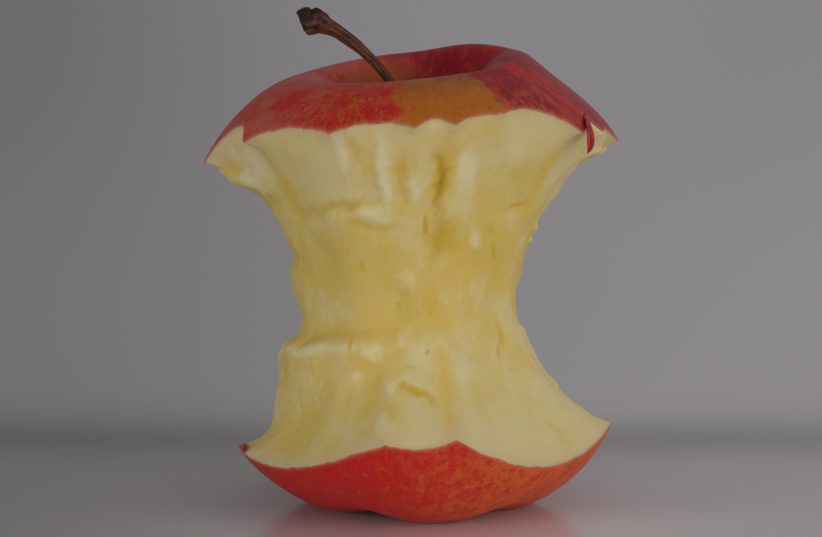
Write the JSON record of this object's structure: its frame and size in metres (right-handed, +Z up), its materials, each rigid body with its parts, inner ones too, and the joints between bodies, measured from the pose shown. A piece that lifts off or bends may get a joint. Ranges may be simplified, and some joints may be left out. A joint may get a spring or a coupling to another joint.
{
  "type": "apple core",
  "caption": "Eaten apple core: a red-skinned cap and base joined by a bitten waist of pale flesh, with a bent woody stalk.",
  "frame": {"origin": "on the ground, under the middle of the whole box; the fruit's own axis stands 1.1 mm towards +X and 0.6 mm towards +Y of it", "axes": "+Z up, along the fruit's axis; the stalk leans towards -X; -Y is the side with the smooth dish and the ledge"},
  "size_m": [0.0636, 0.0622, 0.0782],
  "materials": {
    "apple_flesh": "moist bitten flesh, pale cream going to amber",
    "apple_skin": "waxy red skin with faint streaks and lenticels",
    "stalk_wood": "dry dark bark",
    "dried_sepals": "withered brown flower remains"
  },
  "bodies": {
    "root": {"apple_core": "apple_flesh", "stalk": "stalk_wood", "calyx": "dried_sepals"}
  },
  "joints": []
}
